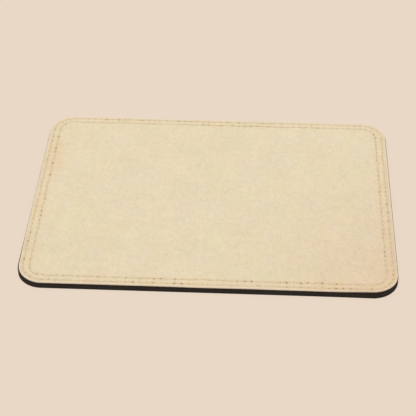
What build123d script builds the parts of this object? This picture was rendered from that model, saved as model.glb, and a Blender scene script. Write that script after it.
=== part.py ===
"""Desk mat: a nubuck leather top, sewn to a backing sheet and glued to a foam rubber base.

Millimetres. The origin is the middle of the underside, +X runs along the long side,
-Y is the front edge and +Z is up. The mat is a stack of flat layers, listed here from
the desk up: grip sheet, foam base, adhesive film, backing sheet and leather cover.
Two closed rows of lockstitch hold the cover to the backing sheet.
"""
from build123d import *
from functools import lru_cache
import math
import os

# Plan size of the black layers
WIDTH = 240.0
DEPTH = 178.0
CORNER_RADIUS = 17.0

# Layers, from the desk up
GRIP_THICKNESS = 0.5
FOAM_THICKNESS = 2.65
FILM_THICKNESS = 0.1
BACKING_THICKNESS = 0.6
COVER_THICKNESS = 1.0

GRIP_EDGE_ROUND = 0.2
COVER_EDGE_ROUND = 0.4
COVER_SETBACK = 0.4  # the leather is cut this much smaller all round
FILM_SETBACK = 0.5  # the glue stops this far short of the black edge

# Two rows of stitches, sewn with one needle spacing between them
SEAM_INSET_SIDES = 3.0  # from the leather's left and right edges to the outer row
SEAM_INSET_ENDS = 2.3  # from its front and back edges to the outer row
SEAM_CORNER_RADIUS = 14.0  # of the outer row
ROW_GAP = 4.0
STITCH_PITCH = 4.4

# Thread, and the grooves that it lies in
THREAD_RADIUS = 0.2
THREAD_CLEARANCE = 0.02
STITCH_END_ROUND = 0.15
STITCH_GAP = 0.5  # between two stitches, where the thread goes down through the sheets
GROOVE_WIDTH = 1.0  # room for the straight stitches to cut the corners

# Heights that follow from the layers
FOAM_BOTTOM = GRIP_THICKNESS
FILM_BOTTOM = FOAM_BOTTOM + FOAM_THICKNESS
BACKING_BOTTOM = FILM_BOTTOM + FILM_THICKNESS
COVER_BOTTOM = BACKING_BOTTOM + BACKING_THICKNESS
MAT_TOP = COVER_BOTTOM + COVER_THICKNESS

COVER_WIDTH = WIDTH - 2 * COVER_SETBACK
COVER_DEPTH = DEPTH - 2 * COVER_SETBACK
COVER_RADIUS = CORNER_RADIUS - COVER_SETBACK

THREAD_SINK = THREAD_RADIUS + THREAD_CLEARANCE  # a run's centre line, below its face
GROOVE_DEPTH = 2 * THREAD_SINK


def layer(width, depth, radius, bottom, thickness):
    """A flat sheet with rounded corners."""
    outline = Pos(0, 0, bottom) * RectangleRounded(width, depth, radius)
    return extrude(outline, thickness)


def seam_size(row):
    """Width, depth and corner radius of a row of stitches: 0 is the outer, 1 the inner."""
    width = COVER_WIDTH - 2 * (SEAM_INSET_SIDES + row * ROW_GAP)
    depth = COVER_DEPTH - 2 * (SEAM_INSET_ENDS + row * ROW_GAP)
    return width, depth, SEAM_CORNER_RADIUS - row * ROW_GAP


def seam_holes(row):
    """Centres of a row's needle holes, anticlockwise from the front right corner."""
    width, depth, radius = seam_size(row)
    half_x = width / 2 - radius
    half_y = depth / 2 - radius
    corners = [(half_x, -half_y), (half_x, half_y), (-half_x, half_y), (-half_x, -half_y)]
    arc_count = round(math.pi / 2 * radius / STITCH_PITCH)
    holes = []
    for side, corner in enumerate(corners):
        centre = Vector(*corner)
        arc_start = 90 * (side - 1)
        for i in range(arc_count):
            spoke = Vector(radius, 0).rotate(Axis.Z, arc_start + 90 * i / arc_count)
            holes.append(centre + spoke)
        run_length = 2 * (half_y if side % 2 == 0 else half_x)
        run_start = centre + Vector(radius, 0).rotate(Axis.Z, arc_start + 90)
        run_direction = Vector(1, 0).rotate(Axis.Z, arc_start + 180)
        run_count = round(run_length / STITCH_PITCH)
        for i in range(run_count):
            holes.append(run_start + run_direction * (run_length * i / run_count))
    return holes


@lru_cache(maxsize=None)
def stitch(span):
    """One stitch along X, as long as the distance between two needle holes allows."""
    rod = Cylinder(THREAD_RADIUS, span - STITCH_GAP, rotation=(0, 90, 0))
    return fillet(rod.edges().filter_by(GeomType.CIRCLE), STITCH_END_ROUND)


def seam_thread(row, height):
    """All the stitches of one thread, as separate solids."""
    holes = seam_holes(row)
    stitches = []
    for start, end in zip(holes, holes[1:] + holes[:1]):
        chord = end - start
        middle = (start + end) * 0.5
        turn = math.degrees(math.atan2(chord.Y, chord.X))
        place = Location((middle.X, middle.Y, height), (0, 0, turn))
        stitches += (place * stitch(round(chord.length, 4))).solids()
    return Compound(stitches)


def needle_thread(row):
    """The upper thread: its stitches lie in the leather's groove."""
    return seam_thread(row, MAT_TOP - THREAD_SINK)


def bobbin_thread(row):
    """The lower thread: its stitches lie in the backing sheet's groove."""
    return seam_thread(row, BACKING_BOTTOM + THREAD_SINK)


def groove(row, bottom):
    """The channel that the thread tension presses into a face."""
    width, depth, radius = seam_size(row)
    outer = RectangleRounded(width + GROOVE_WIDTH, depth + GROOVE_WIDTH, radius + GROOVE_WIDTH / 2)
    inner = RectangleRounded(width - GROOVE_WIDTH, depth - GROOVE_WIDTH, radius - GROOVE_WIDTH / 2)
    return extrude(Pos(0, 0, bottom) * (outer - inner), GROOVE_DEPTH)


def top_cover():
    """Nubuck leather with a softened top edge."""
    sheet = layer(COVER_WIDTH, COVER_DEPTH, COVER_RADIUS, COVER_BOTTOM, COVER_THICKNESS)
    sheet = fillet(sheet.faces().sort_by(Axis.Z)[-1].edges(), COVER_EDGE_ROUND)
    grooves = [groove(row, MAT_TOP - GROOVE_DEPTH) for row in (0, 1)]
    return sheet - grooves


def backing_sheet():
    """Thin fibre sheet under the leather, which the seams lock into."""
    sheet = layer(WIDTH, DEPTH, CORNER_RADIUS, BACKING_BOTTOM, BACKING_THICKNESS)
    grooves = [groove(row, BACKING_BOTTOM) for row in (0, 1)]
    return sheet - grooves


def adhesive_film():
    """Glue between the stitched top and the foam."""
    width = WIDTH - 2 * FILM_SETBACK
    depth = DEPTH - 2 * FILM_SETBACK
    return layer(width, depth, CORNER_RADIUS - FILM_SETBACK, FILM_BOTTOM, FILM_THICKNESS)


def foam_base():
    """Foam rubber slab."""
    return layer(WIDTH, DEPTH, CORNER_RADIUS, FOAM_BOTTOM, FOAM_THICKNESS)


def grip_sheet():
    """Thin rubber skin that the mat stands on."""
    sheet = layer(WIDTH, DEPTH, CORNER_RADIUS, 0, GRIP_THICKNESS)
    return fillet(sheet.faces().sort_by(Axis.Z)[0].edges(), GRIP_EDGE_ROUND)


parts = {
    "top_cover": top_cover(),
    "outer_seam_needle_thread": needle_thread(0),
    "inner_seam_needle_thread": needle_thread(1),
    "backing_sheet": backing_sheet(),
    "outer_seam_bobbin_thread": bobbin_thread(0),
    "inner_seam_bobbin_thread": bobbin_thread(1),
    "adhesive_film": adhesive_film(),
    "foam_base": foam_base(),
    "grip_sheet": grip_sheet(),
}

os.makedirs("parts", exist_ok=True)
for node, shape in parts.items():
    export_step(shape, f"parts/{node}.step")
    print(node, len(shape.solids()), "solids", round(shape.volume, 1), "mm3")
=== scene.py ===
"""Desk mat: nubuck cover, twin seams, foam edge and ribbed underside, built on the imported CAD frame.

Metres, in the CAD frame: +X along the long side, -Y the front edge, +Z up. The cover, the stitches,
the fibre backing, the foam and the grip skin replace their CAD solids. The bobbin threads and the
glue film inside the mat keep theirs, with new materials.
"""

import math

import bpy
import numpy as np
from mathutils import Matrix, Vector
from mathutils.geometry import delaunay_2d_cdt


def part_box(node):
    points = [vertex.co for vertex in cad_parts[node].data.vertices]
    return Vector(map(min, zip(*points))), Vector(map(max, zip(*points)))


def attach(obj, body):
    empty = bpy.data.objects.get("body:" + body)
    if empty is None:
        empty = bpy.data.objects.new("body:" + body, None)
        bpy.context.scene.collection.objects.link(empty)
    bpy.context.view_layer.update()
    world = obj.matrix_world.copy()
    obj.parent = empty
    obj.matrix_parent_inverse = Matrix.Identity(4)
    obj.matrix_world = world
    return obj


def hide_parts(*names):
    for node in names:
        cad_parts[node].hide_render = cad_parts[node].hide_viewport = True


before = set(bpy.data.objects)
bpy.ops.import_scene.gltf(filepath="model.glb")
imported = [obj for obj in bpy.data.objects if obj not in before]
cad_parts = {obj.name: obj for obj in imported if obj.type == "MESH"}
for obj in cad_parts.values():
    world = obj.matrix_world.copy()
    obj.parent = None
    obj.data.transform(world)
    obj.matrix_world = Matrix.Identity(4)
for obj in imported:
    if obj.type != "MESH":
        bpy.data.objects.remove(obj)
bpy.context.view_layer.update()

MM = 0.001
rng = np.random.default_rng(7)


# ---------------------------------------------------------------- sizes, from the frame
def size_of(node):
    """Width, depth, lowest and highest height of a CAD node."""
    low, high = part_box(node)
    return high.x - low.x, high.y - low.y, low.z, high.z


def plan_corner(node):
    """Radius of a flat node's corners: how far its straight right side stops short of the back."""
    points = np.array([v.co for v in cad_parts[node].data.vertices])
    high = points.max(0)
    on_right_side = points[:, 0] > high[0] - 0.01 * MM
    return float(high[1] - points[on_right_side, 1].max())


COVER_W, COVER_D, COVER_BOTTOM, COVER_TOP = size_of("top_cover")
COVER_R = plan_corner("top_cover")
BASE_W, BASE_D, FOAM_BOTTOM, FOAM_TOP = size_of("foam_base")
BASE_R = plan_corner("foam_base")
GRIP_BOTTOM, GRIP_TOP = size_of("grip_sheet")[2:]
BACKING_BOTTOM, BACKING_TOP = size_of("backing_sheet")[2:]

# Stitches round each corner, for the outer and the inner row, and along each straight run
ARC_STITCHES = (5, 4)
LONG_STITCHES = 47
SHORT_STITCHES = 33
ROW_RADIUS = (14 * MM, 10 * MM)


def seam_row(node, row):
    """Plan of a row of stitches, from the CAD thread that lies along its centre line."""
    width, depth, low, high = size_of(node)
    thread = high - low
    return {
        "width": width - thread,
        "depth": depth - thread,
        "radius": ROW_RADIUS[row],
        "inset": (COVER_W - width + thread) / 2,
        "arc": ARC_STITCHES[row],
    }


ROWS = [seam_row("outer_seam_needle_thread", 0), seam_row("inner_seam_needle_thread", 1)]
HOLES_PER_ROW = [2 * (LONG_STITCHES + SHORT_STITCHES) + 4 * row["arc"] for row in ROWS]


# ---------------------------------------------------------------- outlines
def ring(width, depth, radius, arc, long_side, short_side):
    """Points round a rounded rectangle, anticlockwise from the front right corner.

    arc, long_side and short_side are the shares of each stretch at which points lie.
    """
    half_x = width / 2 - radius
    half_y = depth / 2 - radius
    points = []
    for side, (sign_x, sign_y) in enumerate(((1, -1), (1, 1), (-1, 1), (-1, -1))):
        centre = np.array([sign_x * half_x, sign_y * half_y])
        angle = (side - 1 + arc) * math.pi / 2
        points.append(centre + radius * np.stack([np.cos(angle), np.sin(angle)], 1))
        steps = short_side if side % 2 == 0 else long_side
        run = 2 * (half_y if side % 2 == 0 else half_x)
        end = side * math.pi / 2
        start = centre + radius * np.array([math.cos(end), math.sin(end)])
        along = np.array([-math.sin(end), math.cos(end)])
        points.append(start + along * (run * steps)[:, None])
    return np.concatenate(points)


def even(count):
    """Shares of a stretch cut into equal steps."""
    return np.arange(count) / count


# Within one stitch the cover's points crowd towards the needle holes at its ends
STITCH_STEPS = np.array([0, 0.05, 0.11, 0.19, 0.33, 0.5, 0.67, 0.81, 0.89, 0.95])
COVER_ARC = even(60)
COVER_LONG = ((np.arange(LONG_STITCHES)[:, None] + STITCH_STEPS) / LONG_STITCHES).ravel()
COVER_SHORT = ((np.arange(SHORT_STITCHES)[:, None] + STITCH_STEPS) / SHORT_STITCHES).ravel()


def stitch_phase(row):
    """For each point of a cover ring, how many stitches it lies from the row's first hole."""
    phases = []
    count = 0
    for side in range(4):
        phases.append(count + COVER_ARC * row["arc"])
        count += row["arc"]
        steps = COVER_SHORT if side % 2 == 0 else COVER_LONG
        stitches = SHORT_STITCHES if side % 2 == 0 else LONG_STITCHES
        phases.append(count + steps * stitches)
        count += stitches
    return np.concatenate(phases)


# How far each needle hole is off its even place, along and across the row
HOLE_SPREAD = (0.13 * MM, 0.14 * MM)
HOLE_SHIFTS = [rng.normal(0, HOLE_SPREAD, (count, 2)) for count in HOLES_PER_ROW]


def row_holes(row):
    """Plan positions of a row's needle holes."""
    plan = ROWS[row]
    arc, long_side, short_side = even(plan["arc"]), even(LONG_STITCHES), even(SHORT_STITCHES)
    holes = ring(plan["width"], plan["depth"], plan["radius"], arc, long_side, short_side)
    along = np.roll(holes, -1, 0) - np.roll(holes, 1, 0)
    along /= np.hypot(along[:, 0], along[:, 1])[:, None]
    inward = np.stack([-along[:, 1], along[:, 0]], 1)
    shifts = HOLE_SHIFTS[row]
    return holes + along * shifts[:, :1] + inward * shifts[:, 1:]


# ---------------------------------------------------------------- mesh helpers
def ring_faces(rings, count):
    """Quads between successive rings of points, facing out on a wall and up on a top."""
    i = np.arange(count)
    j = (i + 1) % count
    bands = []
    for k in range(rings - 1):
        low, high = k * count, (k + 1) * count
        bands.append(np.stack([low + i, low + j, high + j, high + i], 1))
    return np.concatenate(bands).tolist()


def make_piece(name, points, faces, material, replaced, attributes=()):
    """A smooth-shaded mesh object that stands for a CAD node."""
    mesh = bpy.data.meshes.new(name)
    mesh.from_pydata(points.tolist(), [], faces)
    mesh.validate()
    mesh.polygons.foreach_set("use_smooth", np.ones(len(mesh.polygons), bool))
    for key, values in attributes:
        layer = mesh.attributes.new(key, "FLOAT", "POINT")
        layer.data.foreach_set("value", values.astype(np.float32))
    mesh.materials.append(material)
    piece = bpy.data.objects.new(name, mesh)
    bpy.context.scene.collection.objects.link(piece)
    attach(piece, "root")
    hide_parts(replaced)
    return piece


WAVE_LENGTHS = (0.7, 1.5)  # shortest and longest sine wave, as shares of the length asked for
WAVE_CREST = 1.6  # how high their sum mostly reaches, for each root of their number


def waves(x, y, length, count, seed):
    """Smooth random height, mostly within -1 to 1, from count sine waves about length long."""
    draws = np.random.default_rng(seed)
    total = np.zeros_like(x)
    for _ in range(count):
        heading = draws.uniform(0, 2 * math.pi)
        pitch = 2 * math.pi / (length * draws.uniform(*WAVE_LENGTHS))
        across = x * math.cos(heading) + y * math.sin(heading)
        total += np.sin(across * pitch + draws.uniform(0, 2 * math.pi))
    return total / math.sqrt(count) / WAVE_CREST


# ---------------------------------------------------------------- material helpers
def new_material(name):
    """An empty material with a Principled shader: returns it with its nodes, links and shader."""
    material = bpy.data.materials.new(name)
    material.use_nodes = True
    nodes, links = material.node_tree.nodes, material.node_tree.links
    return material, nodes, links, nodes["Principled BSDF"]


def noise(nodes, links, coords, size, detail, roughness, stretch=(1, 1, 1), offset=0):
    """Noise whose features are about size metres across; stretch widens them per axis."""
    texture = nodes.new("ShaderNodeTexNoise")
    texture.inputs["Scale"].default_value = 1 / size
    texture.inputs["Detail"].default_value = detail
    texture.inputs["Roughness"].default_value = roughness
    mapping = nodes.new("ShaderNodeMapping")
    mapping.inputs["Scale"].default_value = [1 / s for s in stretch]
    mapping.inputs["Location"].default_value = (offset, offset, offset)
    links.new(coords, mapping.inputs["Vector"])
    links.new(mapping.outputs["Vector"], texture.inputs["Vector"])
    return texture.outputs["Fac"]


def remap(nodes, links, value, low, high, to_low=0.0, to_high=1.0):
    """value from low to high, smoothly rescaled and clamped."""
    node = nodes.new("ShaderNodeMapRange")
    node.interpolation_type = "SMOOTHSTEP"
    node.inputs["From Min"].default_value = low
    node.inputs["From Max"].default_value = high
    node.inputs["To Min"].default_value = to_low
    node.inputs["To Max"].default_value = to_high
    links.new(value, node.inputs["Value"])
    return node.outputs["Result"]


def math_node(nodes, links, operation, first, second):
    """One Math node on two values, each a socket or a number."""
    node = nodes.new("ShaderNodeMath")
    node.operation = operation
    for socket, value in zip(node.inputs, (first, second)):
        if isinstance(value, (int, float)):
            socket.default_value = value
        else:
            links.new(value, socket)
    return node.outputs["Value"]


def blend_value(nodes, links, share, first, second):
    """Mixes two values from sockets, by a share that is a number."""
    node = nodes.new("ShaderNodeMix")
    node.inputs["Factor"].default_value = share
    links.new(first, node.inputs["A"])
    links.new(second, node.inputs["B"])
    return node.outputs["Result"]


def blend_colour(nodes, links, share, first, second, mode="MIX"):
    """Mixes two colours, each a socket or an (r, g, b) in linear light, by a share from a socket."""
    node = nodes.new("ShaderNodeMix")
    node.data_type = "RGBA"
    node.blend_type = mode
    sockets = [s for s in node.inputs if s.type == "RGBA"]
    for socket, value in zip(sockets, (first, second)):
        if isinstance(value, tuple):
            socket.default_value = (*value, 1)
        else:
            links.new(value, socket)
    links.new(share, node.inputs["Factor"])
    return next(s for s in node.outputs if s.type == "RGBA")


def swing_colour(nodes, links, colour, value, swing):
    """Moves a colour by half of swing either way as a noise goes from 0 to 1."""
    node = nodes.new("ShaderNodeVectorMath")
    node.operation = "MULTIPLY_ADD"
    links.new(math_node(nodes, links, "SUBTRACT", value, 0.5), node.inputs[0])
    node.inputs[1].default_value = swing
    if isinstance(colour, tuple):
        node.inputs[2].default_value = colour
    else:
        links.new(colour, node.inputs[2])
    return node.outputs["Vector"]


def bump(nodes, links, shader, height, distance):
    """Bump of at most that distance, in metres, on the shader's normal."""
    node = nodes.new("ShaderNodeBump")
    node.inputs["Distance"].default_value = distance
    links.new(height, node.inputs["Height"])
    links.new(node.outputs["Normal"], shader.inputs["Normal"])


def attribute(nodes, name):
    """A mesh attribute's value."""
    node = nodes.new("ShaderNodeAttribute")
    node.attribute_name = name
    return node.outputs["Fac"]


def srgb(red, green, blue):
    """A screen colour, 0 to 255, as linear light."""
    def linear(value):
        share = value / 255
        return share / 12.92 if share <= 0.04045 else ((share + 0.055) / 1.055) ** 2.4

    return linear(red), linear(green), linear(blue)


# ---------------------------------------------------------------- materials
LEATHER_CREAM = srgb(225, 210, 179)
LEATHER_SWINGS = (
    # size of the patches, and how far the colour moves from one to the next
    (1.2 * MM, (0.205, 0.175, 0.130)),
    (3.0 * MM, (0.145, 0.124, 0.091)),
    (8.0 * MM, (0.070, 0.060, 0.043)),
    (25 * MM, (0.065, 0.055, 0.040)),
    (4.5 * MM, (0.040, -0.034, 0.000)),
    (14 * MM, (0.032, -0.027, 0.000)),
    (6.0 * MM, (0.000, 0.000, 0.070)),
    (20 * MM, (0.000, 0.000, 0.070)),
)
# How each tint filters the cream where it is strongest
BORDER_TINT = (0.995, 0.955, 0.918)
BLUSH_TINT = (0.970, 0.900, 0.885)
STAIN_TINT = (0.990, 0.930, 0.860)
# painted shade of the groove and puckers along each row, with some soiling
SEAM_SHADE_AND_DIRT_TINT = (0.920, 0.885, 0.830)
HALO_TINT = (0.970, 0.892, 0.745)
# painted shade inside the needle holes, tinged brown
HOLE_SHADE_TINT = (0.325, 0.215, 0.070)
# Painted shade on the thread between its strands, and on the underside between its ribs
STRAND_VALLEY_SHADE = (0.66, 0.57, 0.44)
RIB_VALLEY_SHADE = (0.40, 0.40, 0.40)
RAW_EDGE = srgb(241, 224, 204)
RAW_EDGE_SWING = (0.30, 0.32, 0.32)  # between the leather's layers, where it is cut
FIBRE_SWING = (0.26, 0.24, 0.20)  # between the fibres of the nap


def nubuck():
    """Pale nubuck: fine nap, cloudy colour, tanned border, painted shade in the needle holes and along the
    rows, and a raw cut edge.
    """
    material, nodes, links, shader = new_material("nubuck_leather")
    coords = nodes.new("ShaderNodeTexCoord").outputs["Object"]
    colour = LEATHER_CREAM
    for place, (size, swing) in enumerate(LEATHER_SWINGS):
        patches = noise(nodes, links, coords, size, 2, 0.6, stretch=(1, 1.4, 1), offset=place)
        colour = swing_colour(nodes, links, colour, patches, swing)
    clouds = noise(nodes, links, coords, 12 * MM, 4, 0.7)
    patchy = remap(nodes, links, clouds, 0.35, 0.65, 0.55, 1.0)
    border = math_node(nodes, links, "MULTIPLY", attribute(nodes, "border"), patchy)
    specks = remap(nodes, links, noise(nodes, links, coords, 0.75 * MM, 2, 0.6, offset=9), 0.37, 0.63)
    seam = math_node(nodes, links, "MULTIPLY", attribute(nodes, "seam"), specks)
    # hole is painted shade inside each needle hole; seam is painted shade along each row's groove, with
    # some soiling
    tints = (
        (border, BORDER_TINT),
        (attribute(nodes, "blush"), BLUSH_TINT),
        (attribute(nodes, "stain"), STAIN_TINT),
        (seam, SEAM_SHADE_AND_DIRT_TINT),
        (attribute(nodes, "halo"), HALO_TINT),
        (attribute(nodes, "hole"), HOLE_SHADE_TINT),
    )
    for share, tint in tints:
        colour = blend_colour(nodes, links, share, colour, tint, "MULTIPLY")
    layers = noise(nodes, links, coords, 0.12 * MM, 3, 0.7, stretch=(6, 6, 1))
    raw_edge = swing_colour(nodes, links, RAW_EDGE, layers, RAW_EDGE_SWING)
    colour = blend_colour(nodes, links, attribute(nodes, "raw_edge"), colour, raw_edge)
    fibres = noise(nodes, links, coords, 0.09 * MM, 3, 0.75, stretch=(1, 2.5, 1))
    colour = swing_colour(nodes, links, colour, fibres, FIBRE_SWING)
    links.new(colour, shader.inputs["Base Color"])
    links.new(remap(nodes, links, fibres, 0.2, 0.8, 0.82, 0.98), shader.inputs["Roughness"])
    shader.inputs["Specular IOR Level"].default_value = 0.2
    shader.inputs["Sheen Weight"].default_value = 0.12
    shader.inputs["Sheen Roughness"].default_value = 0.6
    pile = noise(nodes, links, coords, 0.5 * MM, 3, 0.7, stretch=(1, 1.5, 1))
    nap = blend_value(nodes, links, 0.35, pile, fibres)
    bump(nodes, links, shader, nap, 0.16 * MM)
    return material


def thread_material(name, light, dark):
    """Twisted polyester thread, with painted shade between its strands."""
    material, nodes, links, shader = new_material(name)
    coords = nodes.new("ShaderNodeTexCoord").outputs["Object"]
    wear = noise(nodes, links, coords, 3 * MM, 2, 0.5)
    fibres = noise(nodes, links, coords, 0.06 * MM, 2, 0.6)
    colour = blend_colour(nodes, links, remap(nodes, links, wear, 0.3, 0.7), dark, light)
    # painted shade in the valleys between the strands
    colour = blend_colour(nodes, links, attribute(nodes, "valley"), colour, STRAND_VALLEY_SHADE, "MULTIPLY")
    links.new(colour, shader.inputs["Base Color"])
    links.new(remap(nodes, links, fibres, 0.2, 0.8, 0.6, 0.85), shader.inputs["Roughness"])
    shader.inputs["Sheen Weight"].default_value = 0.1
    bump(nodes, links, shader, fibres, 0.02 * MM)
    return material


def cells(nodes, links, coords, size):
    """Rounded pores about size metres across: 0 in the middle of a pore, 1 on the walls between them."""
    warp = noise(nodes, links, coords, 2 * size, 2, 0.5)
    stirred = swing_colour(nodes, links, coords, warp, (size, size, size))
    texture = nodes.new("ShaderNodeTexVoronoi")
    texture.inputs["Scale"].default_value = 1 / size
    links.new(stirred, texture.inputs["Vector"])
    return remap(nodes, links, texture.outputs["Distance"], 0.0, 0.7)


def black_material(name, light, dark, grain_size, roughness, depth, cell_size=None, valleys=False):
    """Black rubber, foam or fibre: a fine grain, with open cells whose middles get painted shade, or
    painted shade in the valleys, where asked for.
    """
    material, nodes, links, shader = new_material(name)
    coords = nodes.new("ShaderNodeTexCoord").outputs["Object"]
    grain = noise(nodes, links, coords, grain_size, 4, 0.7)
    if cell_size:
        # the pore middles come out darker: painted shade inside the open cells
        grain = blend_value(nodes, links, 0.4, grain, cells(nodes, links, coords, cell_size))
    patches = remap(nodes, links, noise(nodes, links, coords, 14 * MM, 2, 0.5), 0.3, 0.7, 0.6, 1.0)
    share = math_node(nodes, links, "MULTIPLY", remap(nodes, links, grain, 0.3, 0.7), patches)
    colour = blend_colour(nodes, links, share, dark, light)
    # painted shade in the valleys between the ribs
    if valleys:
        colour = blend_colour(nodes, links, attribute(nodes, "valley"), colour, RIB_VALLEY_SHADE, "MULTIPLY")
    links.new(colour, shader.inputs["Base Color"])
    gloss = remap(nodes, links, grain, 0.2, 0.8, roughness - 0.1, roughness + 0.1)
    links.new(gloss, shader.inputs["Roughness"])
    shader.inputs["Specular IOR Level"].default_value = 0.3
    bump(nodes, links, shader, grain, depth)
    return material


def glue_material():
    """Set contact glue: a cloudy satin film."""
    material, nodes, links, shader = new_material("set_glue")
    coords = nodes.new("ShaderNodeTexCoord").outputs["Object"]
    smears = noise(nodes, links, coords, 6 * MM, 3, 0.6, stretch=(3, 1, 1))
    thick = remap(nodes, links, smears, 0.3, 0.7)
    colour = blend_colour(nodes, links, thick, srgb(60, 50, 36), srgb(92, 78, 54))
    links.new(colour, shader.inputs["Base Color"])
    links.new(remap(nodes, links, smears, 0.3, 0.7, 0.35, 0.6), shader.inputs["Roughness"])
    bump(nodes, links, shader, smears, 0.05 * MM)
    return material


LEATHER = nubuck()
NEEDLE_THREAD = thread_material("needle_thread", srgb(240, 224, 192), srgb(228, 208, 172))
BOBBIN_THREAD = thread_material("bobbin_thread", srgb(60, 55, 50), srgb(35, 32, 30))
BACKING = black_material(
    "backing_fibre", srgb(46, 32, 25), srgb(24, 16, 11),
    grain_size=0.2 * MM, roughness=0.85, depth=0.10 * MM,
)
FOAM = black_material(
    "foam_rubber", srgb(44, 39, 33), srgb(22, 19, 15),
    grain_size=0.2 * MM, roughness=0.85, depth=0.20 * MM, cell_size=0.22 * MM,
)
GRIP = black_material(
    "grip_rubber", srgb(44, 40, 34), srgb(26, 23, 19),
    grain_size=0.15 * MM, roughness=0.7, depth=0.06 * MM, valleys=True,
)


# ---------------------------------------------------------------- leather cover
# Cut edge
EDGE_ROUND = 0.4 * MM
EDGE_WALL = ((0.06 * MM, 0), (0.0, 0.15 * MM), (0.0, 0.38 * MM))  # inset and height below the rounding
EDGE_FALL = 0.05 * MM  # how much the top sinks towards the edge
EDGE_FALL_REACH = 1.2 * MM
RAW_EDGE_DEPTH = 0.35 * MM  # how far below the top the pale inside of the leather starts to show
RAW_EDGE_SHARE = 0.85
FRONT_RIM_PALENESS = 0.45  # the rim of the top is paler along the front
FRONT_RIM_PALENESS_REACH = 0.5 * MM
FRONT_RIM_PALENESS_FADE = 6  # power that it fades with, from the front edge to the middle of the mat

# Groove and needle holes of a row
GROOVE_DEPTH = 0.14 * MM
GROOVE_HALF_WIDTH = 0.50 * MM
GROOVE_TENSION = 0.75  # share of the depth halfway between two holes
HOLE_TENSION = 0.6  # what an open hole adds to that
HOLE_TENSION_REACH = 1.1 * MM
HOLE_DEPTH = 0.5 * MM
CLOSED_HOLE_SHARE = 0.5  # of that depth, which even a closed hole has
HOLE_RADIUS = 0.48 * MM
# how dark the painted shade inside an open hole is
HOLE_SHADE = 0.75
SEAM_HALF_WIDTH = 1.0 * MM  # of the band along a row painted darker: shade of its groove and puckers, and some soiling
SEAM_SHADE_AND_DIRT = (1.25, 0.8)  # the outer row's band is darker than the inner one's
SEAM_SHADE_AND_DIRT_SHIFT = (0.8 * MM, 0)  # and its dark band lies nearer the edge
HALO_RADIUS = 1.1 * MM  # of the tanned leather round an open hole
HALO_LENGTHENING = 0.7  # below 1, the halo is longer along the row
HALO_FROM = 0.75  # strength above which a hole has a halo
PILLOW_HEIGHT = 0.04 * MM  # of the leather between the two rows
PILLOW_REACH = 1.1 * MM

# Strength of the holes, 1 for a plain one
FAINTEST_HOLE = 0.2
HOLE_RANGE = 1.35
STRETCH_STRENGTHS = (0.4, 1.6)
STRETCH_HOLES = 7  # a faint or open stretch of a row is about this many holes long
SIDE_STRENGTH = (0.9, 0.75, 1.0, 0.95)  # along the right, back, left and front
CORNER_STRENGTH = 0.6  # the holes are fainter round the corners
OPEN_CORNER_STRENGTH = 1.5  # apart from the inner row's back right corner

# Colour of the border and of two marks
BORDER_PAST_SEAM = 1.4 * MM  # the tanned border ends this far inside the inner row
BORDER_BLEND = 0.8 * MM
BACK_PALENESS = 0.45  # how much less tanned the border is along the back
BACK_FADE = 3  # power that this fades with, from the back edge to the middle of the mat
BLUSH_REACH = 75 * MM
BLUSH_SQUEEZE = (1.25, 0.9)  # above 1, it reaches less far along that axis
STAIN_AT = (COVER_W * -0.462, COVER_D * 0.225)
STAIN_REACH = (7 * MM, 18 * MM)

# Uneven leather: height, length, number of waves and seed
FIELD_SWELL = (0.03 * MM, 38 * MM, 7, 3)
FIELD_RIPPLE = (0.012 * MM, 9 * MM, 9, 4)
TRIM_WAVE = (0.12 * MM, 45 * MM, 5, 6)

# Hand-trimmed edge: where it is cut short, by how much and over what length
TRIM_FADE = 1.5 * MM
SHORT_FRONT_AT = COVER_W / 2 - 16 * MM
SHORT_FRONT = 0.55 * MM
SHORT_FRONT_REACH = 16 * MM
SHORT_LEFT_AT = 12 * MM - COVER_D / 2
SHORT_LEFT = 0.38 * MM
SHORT_LEFT_REACH = 22 * MM

# Points of the cover's mesh
INNER_RADIUS = 6 * MM  # plan corners of the last fine ring
FIELD_STEP = 1.8 * MM  # spacing of the points inside it
FIELD_CLEARANCE = 0.6  # steps between that ring and the nearest of them
NEAR_SEAM = np.array([0.08, 0.2, 0.35, 0.55, 0.85, 1.3]) * MM  # rings on each side of a row
NEAR_EDGE = np.array([0.55, 0.75, 1.0, 1.35]) * MM

SIDE_STITCHES = (SHORT_STITCHES, LONG_STITCHES) * 2


def bell(distance, reach):
    """1 where the distance is 0, falling smoothly to almost nothing at twice the reach."""
    return np.exp(-((distance / reach) ** 2))


def hole_strength(row):
    """How strongly each needle hole shows: most are faint, and some stretches of a row are open."""
    count = HOLES_PER_ROW[row]
    strength = FAINTEST_HOLE + HOLE_RANGE * rng.uniform(0, 1, count) ** 2
    stretches = rng.uniform(*STRETCH_STRENGTHS, count // STRETCH_HOLES + 2)
    strength *= np.interp(np.arange(count) / STRETCH_HOLES, np.arange(len(stretches)), stretches)
    factors = []
    for side, stitch_count in enumerate(SIDE_STITCHES):
        open_corner = row == 1 and side == 1
        factors += [OPEN_CORNER_STRENGTH if open_corner else CORNER_STRENGTH] * ROWS[row]["arc"]
        factors += [SIDE_STRENGTH[side]] * stitch_count
    return strength * factors


STRENGTH = [hole_strength(row) for row in (0, 1)]
STITCH_LENGTH = (ROWS[0]["width"] - 2 * ROWS[0]["radius"]) / LONG_STITCHES
PHASES = [stitch_phase(row) for row in ROWS]


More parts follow.
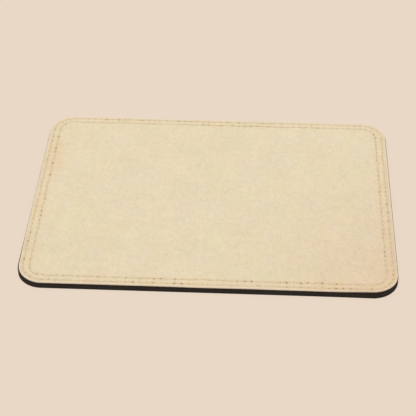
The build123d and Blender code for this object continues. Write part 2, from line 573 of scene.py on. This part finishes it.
def cover_plan(inset):
    """Width, depth and corner radius of the cover's ring at an inset from its sides."""
    outer, inner = ROWS
    last = inner["inset"] + inner["radius"] - INNER_RADIUS
    known = [0, outer["inset"], inner["inset"], last]
    depths = [COVER_D, outer["depth"], inner["depth"], inner["depth"] - 2 * (last - inner["inset"])]
    radii = [COVER_R, outer["radius"], inner["radius"], INNER_RADIUS]
    depth = float(np.interp(inset, known, depths))
    radius = float(np.interp(inset, known, radii))
    return COVER_W - 2 * inset, depth, radius


def top_insets():
    """Insets of the cover's top rings, close together at the rows of stitches."""
    near = np.concatenate([-NEAR_SEAM[::-1], NEAR_SEAM])
    first, second = ROWS[0]["inset"], ROWS[1]["inset"]
    last = second + ROWS[1]["radius"] - INNER_RADIUS
    between = [(first + second) / 2]
    inside = np.linspace(second + 1.9 * MM, last, 4)
    return np.concatenate([NEAR_EDGE, first + near, between, second + near, inside])


def ring_places():
    """Inset and height above the cover's foot of each ring: cut edge, rounding and top."""
    thickness = COVER_TOP - COVER_BOTTOM
    places = list(EDGE_WALL)
    for turn in np.linspace(0, math.pi / 2, 5):
        height = thickness - EDGE_ROUND * (1 - math.sin(turn))
        places.append((EDGE_ROUND * (1 - math.cos(turn)), height))
    return places + [(inset, thickness) for inset in top_insets()]


def field_height(x, y):
    """Slow rise and fall of soft leather that isn't glued quite flat."""
    swell, ripple = FIELD_SWELL[0], FIELD_RIPPLE[0]
    return swell * waves(x, y, *FIELD_SWELL[1:]) + ripple * waves(x, y, *FIELD_RIPPLE[1:])


def seam_shape(inset):
    """Height change, the painted shade of hole and seam, and the halo round the cover's ring at that inset.
    """
    drop, hole, halo, seam = np.zeros((4, len(PHASES[0])))
    for row in (0, 1):
        phase, strength, shifts = PHASES[row], STRENGTH[row], HOLE_SHIFTS[row]
        nearest = np.rint(phase).astype(int)
        pull = strength[nearest % len(strength)]
        along = (phase - nearest) * STITCH_LENGTH - shifts[nearest % len(shifts), 0]
        wander = np.interp(phase, np.arange(len(shifts) + 1), np.append(shifts[:, 1], shifts[0, 1]))
        across = inset - ROWS[row]["inset"] - wander
        tension = GROOVE_TENSION + HOLE_TENSION * pull * bell(along, HOLE_TENSION_REACH)
        funnel = bell(np.hypot(along, across), HOLE_RADIUS)
        drop += GROOVE_DEPTH * tension * bell(across, GROOVE_HALF_WIDTH)
        drop += HOLE_DEPTH * (CLOSED_HOLE_SHARE + (1 - CLOSED_HOLE_SHARE) * pull) * funnel
        # painted shade inside each needle hole
        hole += HOLE_SHADE * pull * funnel
        from_hole = np.hypot(HALO_LENGTHENING * along, across)
        halo += np.clip(pull - HALO_FROM, 0, 1) * bell(from_hole, HALO_RADIUS)
        # painted shade of the groove along the row, with some soiling
        seam += SEAM_SHADE_AND_DIRT[row] * bell(across + SEAM_SHADE_AND_DIRT_SHIFT[row], SEAM_HALF_WIDTH)
    return drop, np.clip(hole, 0, 1), np.clip(halo, 0, 1), seam


def trim(x, y, inset):
    """How far right and back the hand-trimmed edge of the leather is off its line."""
    fade = math.exp(-inset / TRIM_FADE)
    uneven = TRIM_WAVE[0] * waves(x, y, *TRIM_WAVE[1:])
    short_front = SHORT_FRONT * bell(x - SHORT_FRONT_AT, SHORT_FRONT_REACH) * (y < 0)
    short_left = SHORT_LEFT * bell(y - SHORT_LEFT_AT, SHORT_LEFT_REACH) * (x < 0)
    return fade * short_left, fade * (uneven + short_front)


def cover_ring(inset, height):
    """Points of one ring of the cover, its hole and seam painted shade, and its halo, border and raw edge
    colours.
    """
    thickness = COVER_TOP - COVER_BOTTOM
    first, second = ROWS[0]["inset"], ROWS[1]["inset"]
    plan = ring(*cover_plan(inset), COVER_ARC, COVER_LONG, COVER_SHORT)
    moved_x, moved_y = trim(plan[:, 0], plan[:, 1], inset)
    x = plan[:, 0] + moved_x
    y = plan[:, 1] + moved_y
    drop, hole, halo, seam = seam_shape(inset)
    edge_fall = EDGE_FALL * bell(inset, EDGE_FALL_REACH)
    pillow = PILLOW_HEIGHT * bell(inset - (first + second) / 2, PILLOW_REACH)
    relief = field_height(x, y) - drop - edge_fall + pillow
    z = COVER_BOTTOM + height + height / thickness * relief
    inside_border = 1 / (1 + math.exp((inset - second - BORDER_PAST_SEAM) / BORDER_BLEND))
    border = inside_border * (1 - BACK_PALENESS * np.clip(2 * y / COVER_D, 0, 1) ** BACK_FADE)
    below_top = thickness - height + inset
    cut = RAW_EDGE_SHARE * (1 - bell(below_top, RAW_EDGE_DEPTH)) * (inset < EDGE_ROUND)
    rim_paleness = FRONT_RIM_PALENESS * bell(inset - EDGE_ROUND, FRONT_RIM_PALENESS_REACH) * (inset >= EDGE_ROUND)
    rawness = cut + rim_paleness * np.clip(-2 * y / COVER_D, 0, 1) ** FRONT_RIM_PALENESS_FADE
    return np.stack([x, y, z], 1), (hole, halo, seam, border, rawness)


def leather_cover():
    """The cover as one closed sheet: raw edge, sewn border and softly uneven field."""
    rings, shades = zip(*[cover_ring(inset, height) for inset, height in ring_places()])
    count = len(rings[0])
    faces = ring_faces(len(rings), count)
    faces.append(list(range(count))[::-1])

    # The field inside the last ring is filled with even triangles
    first_of_last = (len(rings) - 1) * count
    field = field_points(*cover_plan(top_insets()[-1]))
    flat = [Vector(p) for p in np.concatenate([rings[-1][:, :2], field])]
    loop = [(i, (i + 1) % count) for i in range(count)]
    _, _, triangles, origins, _, _ = delaunay_2d_cdt(flat, loop, [], 1, 1e-9)
    faces += [[first_of_last + origins[i][0] for i in t] for t in triangles]
    field_z = COVER_TOP + field_height(field[:, 0], field[:, 1])
    points = np.concatenate([*rings, np.column_stack([field, field_z])])

    names = ("hole", "halo", "seam", "border", "raw_edge")
    in_field = np.zeros(len(field))
    attributes = [(name, np.concatenate([*shade, in_field])) for name, shade in zip(names, zip(*shades))]
    x, y = points[:, 0], points[:, 1]
    from_corner = np.hypot(BLUSH_SQUEEZE[0] * (x - COVER_W / 2), BLUSH_SQUEEZE[1] * (y + COVER_D / 2))
    from_stain = np.hypot((x - STAIN_AT[0]) / STAIN_REACH[0], (y - STAIN_AT[1]) / STAIN_REACH[1])
    attributes.append(("blush", bell(from_corner, BLUSH_REACH)))
    attributes.append(("stain", bell(from_stain, 1)))
    return make_piece("leather_cover", points, faces, LEATHER, "top_cover", attributes)


def field_points(width, depth, radius):
    """A triangular lattice of points inside a rounded rectangle, clear of its edge."""
    clear = FIELD_CLEARANCE * FIELD_STEP
    columns = np.arange(-width / 2, width / 2, FIELD_STEP)
    lines = np.arange(-depth / 2, depth / 2, FIELD_STEP * math.sqrt(3) / 2)
    x, y = np.meshgrid(columns, lines)
    x[1::2] += FIELD_STEP / 2
    x, y = x.ravel(), y.ravel()
    reach_x = np.maximum(np.abs(x) - (width / 2 - radius), 0)
    reach_y = np.maximum(np.abs(y) - (depth / 2 - radius), 0)
    inside = np.hypot(reach_x, reach_y) < radius - clear
    return np.stack([x[inside], y[inside]], 1)


# ---------------------------------------------------------------- stitches
THREAD_RADIUS = 0.23 * MM
THREAD_SINK = 0.08 * MM  # of its centre line, below the leather's top
THREAD_LIFT = (-0.02 * MM, 0.03 * MM)  # how much one stitch lies higher than another
THREAD_FLATTENING = 0.08
STRANDS = 3
STRAND_DEPTH = 0.22  # of the valleys between the strands, as a share of the radius
STRAND_SHADE_POWER = 1.5  # the higher, the narrower the painted shade line along a valley
TWIST_LENGTH = 1.9 * MM
TWIST_STARTS = (0, 6)  # radians
STITCH_GAP = 0.2 * MM  # between two stitches in a row
STITCH_DIVE = 0.55 * MM  # how far the ends go down into the holes
DIVE_POWER = 7  # the higher, the nearer its end a stitch turns down
STITCH_SLANT = 0.03 * MM
END_TAPER = 0.25
TAPER_POWER = 6
STITCH_RINGS = 30
STITCH_SIDES = 18

AROUND = np.arange(STITCH_SIDES) / STITCH_SIDES * 2 * math.pi
STRAND_BULGE = np.abs(np.cos(STRANDS * AROUND / 2))  # 1 on a strand's crown, 0 in the valley beside it
STITCH_FACES = ring_faces(STITCH_RINGS, STITCH_SIDES)
STITCH_FACES.append(list(range(STITCH_SIDES))[::-1])
STITCH_FACES.append([(STITCH_RINGS - 1) * STITCH_SIDES + i for i in range(STITCH_SIDES)])


def stitch_points(start, end, draws):
    """One stitch between two needle holes: a twisted thread whose ends dive into them."""
    share = np.linspace(-1, 1, STITCH_RINGS)
    chord = end - start
    span = float(np.hypot(*chord))
    along = chord / span
    side = np.array([-along[1], along[0]])
    slant = draws.normal(0, STITCH_SLANT)
    lift = draws.uniform(*THREAD_LIFT)
    position = share * (span - STITCH_GAP) / 2
    height = COVER_TOP - THREAD_SINK + lift - STITCH_DIVE * np.abs(share) ** DIVE_POWER
    twist = position / TWIST_LENGTH * 2 * math.pi + draws.uniform(*TWIST_STARTS)
    angle = AROUND[None, :] + twist[:, None]
    radius = THREAD_RADIUS * (1 - STRAND_DEPTH + STRAND_DEPTH * STRAND_BULGE)[None, :]
    radius = radius * (1 - END_TAPER * np.abs(share) ** TAPER_POWER)[:, None]
    centre = (start + end) / 2 + along * position[:, None] + side * (slant * share)[:, None]
    across = radius * np.cos(angle) * (1 + THREAD_FLATTENING)
    rise = radius * np.sin(angle) * (1 - THREAD_FLATTENING)
    plan = centre[:, None, :] + side * across[:, :, None]
    z = height[:, None] + rise
    return np.concatenate([plan, z[:, :, None]], 2).reshape(-1, 3)


def stitches(name, row, node, seed):
    """Every visible stitch of one row, as a separate closed thread."""
    draws = np.random.default_rng(seed)
    holes = row_holes(row)
    points, faces = [], []
    for start, end in zip(holes, np.roll(holes, -1, 0)):
        first = len(points) * STITCH_RINGS * STITCH_SIDES
        points.append(stitch_points(start, end, draws))
        faces += [[first + i for i in f] for f in STITCH_FACES]
    # valley: painted shade between the strands
    valley = np.tile((1 - STRAND_BULGE) ** STRAND_SHADE_POWER, len(holes) * STITCH_RINGS)
    points = np.concatenate(points)
    return make_piece(name, points, faces, NEEDLE_THREAD, node, [("valley", valley)])


# ---------------------------------------------------------------- black layers
WALL_STEP = 0.4 * MM
BASE_SPREAD = 0.35 * MM
BASE_SPREAD_REACH = 28 * MM
BASE_SPREAD_FADE = 4  # power that it fades with, from the front edge to the middle of the mat
FOAM_HOLLOW = 0.12 * MM
FOAM_ROUGHNESS = 0.03 * MM
BACKING_ROUGHNESS = 0.02 * MM
BACKING_INSET = 0.02 * MM
BACKING_TOP_INSET = 0.08 * MM


def wall_shares(width, depth, radius):
    """Even shares for a black layer's wall, about WALL_STEP apart."""
    arc = even(round(math.pi / 2 * radius / WALL_STEP))
    long_side = even(round((width - 2 * radius) / WALL_STEP))
    short_side = even(round((depth - 2 * radius) / WALL_STEP))
    return arc, long_side, short_side


def base_spread(x, y):
    """How far the black layers spread forward at the front right corner."""
    fade = np.clip(-2 * y / BASE_D, 0, 1) ** BASE_SPREAD_FADE
    return BASE_SPREAD * bell(x - BASE_W / 2, BASE_SPREAD_REACH) * fade


def slab(name, profile, roughness, seed, material, node):
    """A flat layer with a roughly cut edge: profile is a list of (inset, height) from its foot up."""
    shares = wall_shares(BASE_W, BASE_D, BASE_R)
    draws = np.random.default_rng(seed)
    points = []
    for inset, height in profile:
        plan = ring(BASE_W - 2 * inset, BASE_D - 2 * inset, BASE_R - inset, *shares)
        cut = draws.normal(0, roughness, len(plan)) - roughness
        plan *= (1 + cut / np.hypot(plan[:, 0], plan[:, 1]))[:, None]
        plan[:, 1] -= base_spread(plan[:, 0], plan[:, 1])
        points.append(np.column_stack([plan, np.full(len(plan), height)]))
    count = len(points[0])
    faces = ring_faces(len(points), count)
    faces.append(list(range(count))[::-1])
    faces.append([(len(points) - 1) * count + i for i in range(count)])
    return make_piece(name, np.concatenate(points), faces, material, node)


def foam_slab():
    """Foam rubber: the die leaves its cut edge a little hollow at mid height."""
    heights = np.linspace(FOAM_BOTTOM, FOAM_TOP, 11)
    middle = (FOAM_BOTTOM + FOAM_TOP) / 2
    half = (FOAM_TOP - FOAM_BOTTOM) / 2
    profile = [(FOAM_HOLLOW * (1 - ((z - middle) / half) ** 2), z) for z in heights]
    return slab("foam_slab", profile, FOAM_ROUGHNESS, 11, FOAM, "foam_base")


def backing_slab():
    """Fibre sheet: a thin cut edge under the leather."""
    heights = np.linspace(BACKING_BOTTOM, BACKING_TOP, 4)
    profile = [(BACKING_INSET, z) for z in heights]
    profile[-1] = (BACKING_TOP_INSET, BACKING_TOP)
    return slab("fibre_backing", profile, BACKING_ROUGHNESS, 12, BACKING, "backing_sheet")


# ---------------------------------------------------------------- ribbed underside
RIB_PITCH = 2.0 * MM
RIB_DEPTH = 0.25 * MM
RIB_WAVE = 12 * MM
RIB_SWING = 0.7 * MM
RIB_MARGIN = 3 * MM
RIB_STEEPNESS = 1.5  # of a rib's flanks: 1 gives a zigzag, more leaves flat crowns and valleys
RIB_COLUMNS = 200
EDGE_TURNS = np.linspace(0.02, 0.6, 9)  # radians round the plan corners of the lines near an edge


def rib_lines():
    """Distances from the front edge at which the underside has a line of points."""
    near_edge = BASE_R * (1 - np.cos(EDGE_TURNS))
    inside = np.arange(near_edge[-1] + RIB_PITCH / 4, BASE_D - near_edge[-1], RIB_PITCH / 4)
    return np.concatenate([[0], near_edge, inside, BASE_D - near_edge[::-1], [BASE_D]])


def grip_sheet():
    """Rubber skin with wavy ribs underneath, flat in a margin round its edge."""
    y = rib_lines() - BASE_D / 2
    past_straight = np.maximum(np.abs(y) - (BASE_D / 2 - BASE_R), 0)
    half_width = BASE_W / 2 - BASE_R + np.sqrt(np.maximum(BASE_R**2 - past_straight**2, 0))
    share = np.linspace(-1, 1, RIB_COLUMNS + 1)
    x = half_width[:, None] * share[None, :]
    yy = np.broadcast_to(y[:, None], x.shape)
    from_side = half_width[:, None] - np.abs(x)
    from_end = BASE_D / 2 - np.abs(yy)
    fade = np.clip((np.minimum(from_side, from_end) - RIB_MARGIN / 2) / (RIB_MARGIN / 2), 0, 1)
    phase = (yy + RIB_SWING * np.sin(x / RIB_WAVE * 2 * math.pi)) / RIB_PITCH
    zigzag = np.abs((phase % 1) * 2 - 1)
    valley = fade * np.clip(RIB_STEEPNESS * (zigzag - 0.5) + 0.5, 0, 1)
    z = GRIP_BOTTOM + RIB_DEPTH * valley
    lines, columns = x.shape
    under = np.stack([x, yy - base_spread(x, yy), z], 2).reshape(-1, 3)
    index = np.arange(lines * columns).reshape(lines, columns)
    quads = np.stack([index[:-1, :-1], index[1:, :-1], index[1:, 1:], index[:-1, 1:]], 2)
    faces = quads.reshape(-1, 4).tolist()
    loop = np.concatenate([index[0], index[1:, -1], index[-1, -2::-1], index[-2:0:-1, 0]])
    top = under[loop].copy()
    top[:, 2] = GRIP_TOP
    first = len(under)
    count = len(loop)
    rim = first + np.arange(count)
    wall = np.stack([loop, np.roll(loop, -1), np.roll(rim, -1), rim], 1)
    faces += wall.tolist()
    faces.append(rim.tolist())
    # the valley share, which also lifts the ribs, sets the painted shade between them
    attributes = [("valley", np.concatenate([valley.ravel(), np.zeros(count)]))]
    points = np.concatenate([under, top])
    return make_piece("ribbed_grip", points, faces, GRIP, "grip_sheet", attributes)


# ---------------------------------------------------------------- the mat
cover = leather_cover()
outer_stitches = stitches("outer_stitches", 0, "outer_seam_needle_thread", 21)
inner_stitches = stitches("inner_stitches", 1, "inner_seam_needle_thread", 22)
backing = backing_slab()
foam = foam_slab()
grip = grip_sheet()

for node, material in (
    ("outer_seam_bobbin_thread", BOBBIN_THREAD),
    ("inner_seam_bobbin_thread", BOBBIN_THREAD),
    ("adhesive_film", glue_material()),
):
    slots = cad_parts[node].data.materials
    slots.clear()
    slots.append(material)


# ---------------------------------------------------------------- floor, light and camera
FLOOR_COLOUR = srgb(233, 216, 198)
FLOOR_GLOW = 0.95
FLOOR_SIZE = 30
FLOOR_DROP = 0.02 * MM  # just clear of the underside
DOME_COLOUR = (1.0, 0.985, 0.965, 1)


def floor():
    """A wide plain floor that mostly glows evenly, like a lit sweep."""
    bpy.ops.mesh.primitive_plane_add(size=FLOOR_SIZE, location=(0, 0, -FLOOR_DROP))
    plane = bpy.context.object
    plane.name = "floor"
    material, nodes, links, shader = new_material("floor_sweep")
    shader.inputs["Base Color"].default_value = (*FLOOR_COLOUR, 1)
    shader.inputs["Roughness"].default_value = 1.0
    shader.inputs["Specular IOR Level"].default_value = 0.0
    glow = nodes.new("ShaderNodeEmission")
    glow.inputs["Color"].default_value = (*FLOOR_COLOUR, 1)
    glow.inputs["Strength"].default_value = 1.0
    mix = nodes.new("ShaderNodeMixShader")
    mix.inputs["Fac"].default_value = FLOOR_GLOW
    links.new(shader.outputs["BSDF"], mix.inputs[1])
    links.new(glow.outputs["Emission"], mix.inputs[2])
    links.new(mix.outputs["Shader"], nodes["Material Output"].inputs["Surface"])
    plane.data.materials.append(material)


def dome(strength):
    """Even light from all round."""
    world = bpy.data.worlds.new("studio")
    world.use_nodes = True
    background = world.node_tree.nodes["Background"]
    background.inputs["Color"].default_value = DOME_COLOUR
    background.inputs["Strength"].default_value = strength
    bpy.context.scene.world = world


def softbox(name, place, size, power, colour):
    """A square area light aimed at the mat."""
    light = bpy.data.lights.new(name, "AREA")
    light.size = size
    light.energy = power
    light.color = colour
    lamp = bpy.data.objects.new(name, light)
    lamp.location = place
    lamp.rotation_euler = (-Vector(place)).to_track_quat("-Z", "Y").to_euler()
    bpy.context.scene.collection.objects.link(lamp)


CAMERA_LENS = 112.4  # millimetres, as the sensor's width is
SENSOR_WIDTH = 36
CAMERA_AZIMUTH = math.radians(2.97)
CAMERA_ELEVATION = math.radians(39.41)
CAMERA_ROLL = math.radians(-0.25)
CAMERA_DISTANCE = 3.601 * BASE_W
CAMERA_TARGET = Vector((-0.0100 * BASE_W, -0.0485 * BASE_W, COVER_TOP))


def camera():
    """A long lens, looking down on the mat from in front."""
    cos_up = math.cos(CAMERA_ELEVATION)
    back = Vector((
        math.sin(CAMERA_AZIMUTH) * cos_up,
        -math.cos(CAMERA_AZIMUTH) * cos_up,
        math.sin(CAMERA_ELEVATION),
    ))
    data = bpy.data.cameras.new("camera")
    data.lens = CAMERA_LENS
    data.sensor_width = SENSOR_WIDTH
    data.clip_start = 0.01
    data.clip_end = 50
    eye = bpy.data.objects.new("camera", data)
    eye.rotation_mode = "QUATERNION"
    turn = (-back).to_track_quat("-Z", "Y") @ Matrix.Rotation(CAMERA_ROLL, 3, "Z").to_quaternion()
    eye.rotation_quaternion = turn
    eye.location = CAMERA_TARGET + back * CAMERA_DISTANCE
    bpy.context.scene.collection.objects.link(eye)
    bpy.context.scene.camera = eye


floor()
dome(0.72)
softbox("key", (-0.5, 0.9, 1.4), 1.4, 10.5, (1.0, 0.99, 0.97))
softbox("fill", (0.7, -0.8, 1.2), 1.6, 5.0, (1.0, 0.98, 0.96))
camera()
bpy.context.scene.view_settings.view_transform = "Standard"
